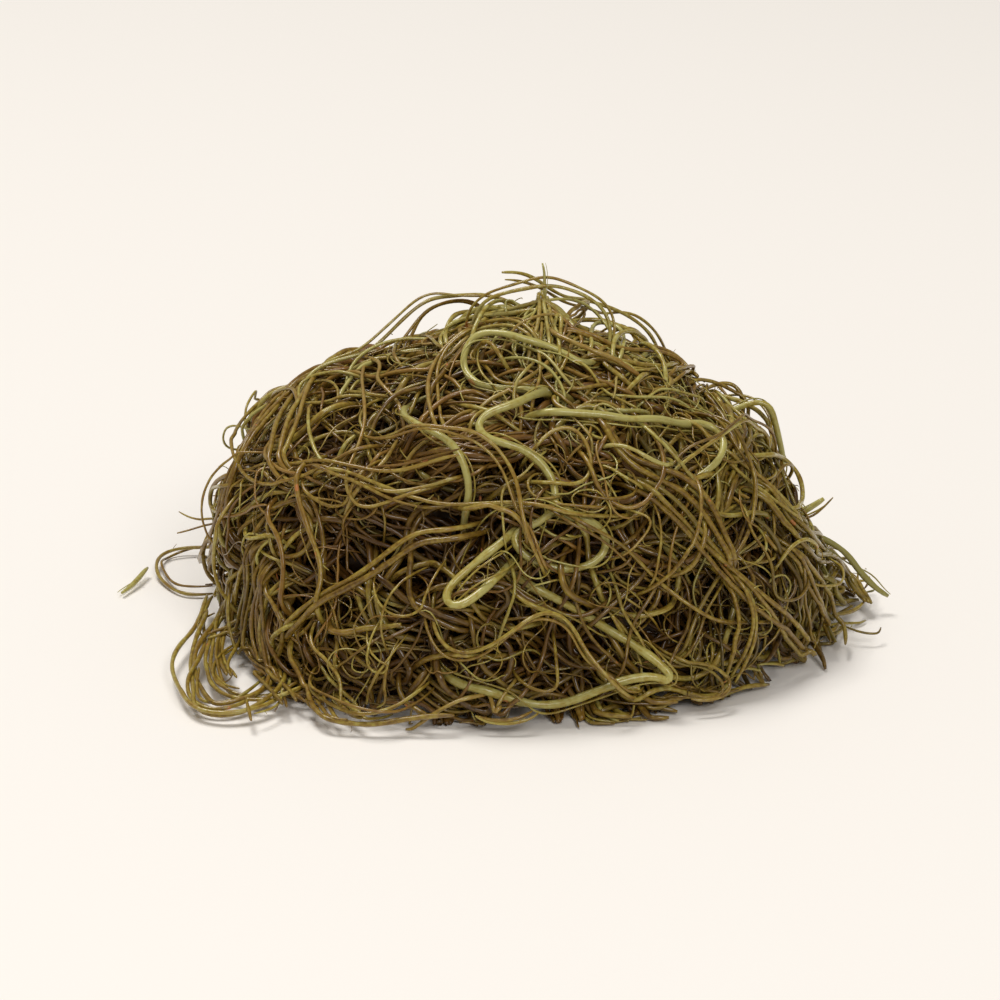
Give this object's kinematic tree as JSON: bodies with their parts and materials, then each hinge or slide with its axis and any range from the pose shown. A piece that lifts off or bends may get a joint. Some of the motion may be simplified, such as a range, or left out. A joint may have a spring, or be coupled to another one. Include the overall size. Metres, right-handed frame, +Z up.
{
  "type": "salted gracilaria seaweed",
  "caption": "Tangled mound of long, thin, cord-like salted seaweed strands in olive, pale green and ochre, resting on a flat underside.",
  "frame": {"origin": "on the resting face, under the middle of the mound", "axes": "+Z up out of the resting face; +Y away from the viewer's side; +X to the viewer's right"},
  "size_m": [0.1859, 0.1499, 0.0877],
  "materials": {
    "olive_seaweed": "wet, satin",
    "pale_seaweed": "wet, satin",
    "ochre_seaweed": "wet, satin",
    "green_seaweed": "wet, satin"
  },
  "bodies": {
    "root": {"olive_tangle": "olive_seaweed", "looped_strand": "pale_seaweed", "hairpin_strand": "pale_seaweed", "base_sweep": "pale_seaweed", "right_arc": "pale_seaweed", "left_arc": "pale_seaweed", "swag": "ochre_seaweed", "crown_loop": "pale_seaweed", "crown_arch": "ochre_seaweed", "crown_thread": "pale_seaweed", "right_spur": "pale_seaweed", "right_tuft": "pale_seaweed", "right_stray": "pale_seaweed", "left_stray": "ochre_seaweed", "left_tail": "pale_seaweed", "front_stray": "ochre_seaweed", "curly_00": "ochre_seaweed", "curly_01": "green_seaweed", "curly_02": "ochre_seaweed", "curly_03": "green_seaweed", "curly_04": "ochre_seaweed", "curly_05": "green_seaweed", "curly_06": "ochre_seaweed", "curly_07": "green_seaweed", "curly_08": "ochre_seaweed", "curly_09": "green_seaweed", "curly_10": "ochre_seaweed", "curly_11": "green_seaweed"}
  },
  "joints": []
}
